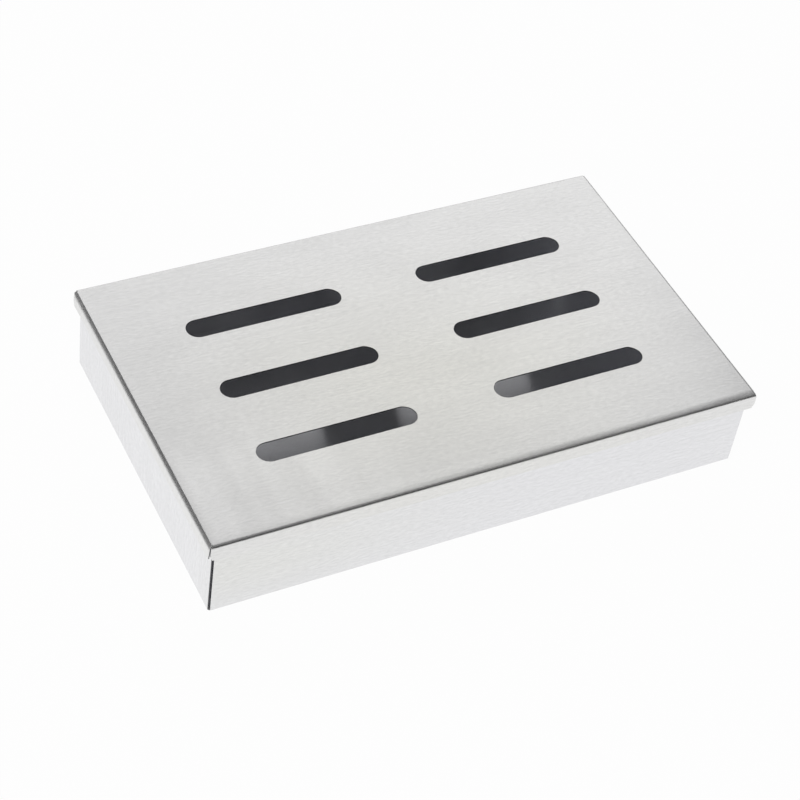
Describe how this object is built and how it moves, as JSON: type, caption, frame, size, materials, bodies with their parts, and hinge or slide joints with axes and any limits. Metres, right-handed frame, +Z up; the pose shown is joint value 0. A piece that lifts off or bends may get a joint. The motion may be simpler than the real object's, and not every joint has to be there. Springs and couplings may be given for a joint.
{
  "type": "grill smoker box",
  "caption": "Shallow folded sheet-steel tray for wood chips with a loose lid whose round-ended slots let smoke out; it stands on a grill and the lid lifts straight off.",
  "frame": {"origin": "middle of the tray's underside, at the height of the surface that the box stands on", "axes": "+X along the long side, +Y across the box towards the back, +Z up, the way the lid lifts"},
  "size_m": [0.209, 0.1274, 0.035],
  "materials": {
    "tray_steel": "fine satin-brushed stainless sheet, grain along the box, cut edges deburred",
    "lid_steel": "fine satin-brushed stainless sheet, grain along the box, faint cloudy sheen, punched slots deburred"
  },
  "bodies": {
    "tray": {"tray": "tray_steel"},
    "lid": {"lid": "lid_steel"}
  },
  "joints": [
    {"name": "lid_lift", "type": "slide", "parent": "tray", "child": "lid", "axis": [0, 0, 1], "range_m": [0, 0.08]}
  ]
}
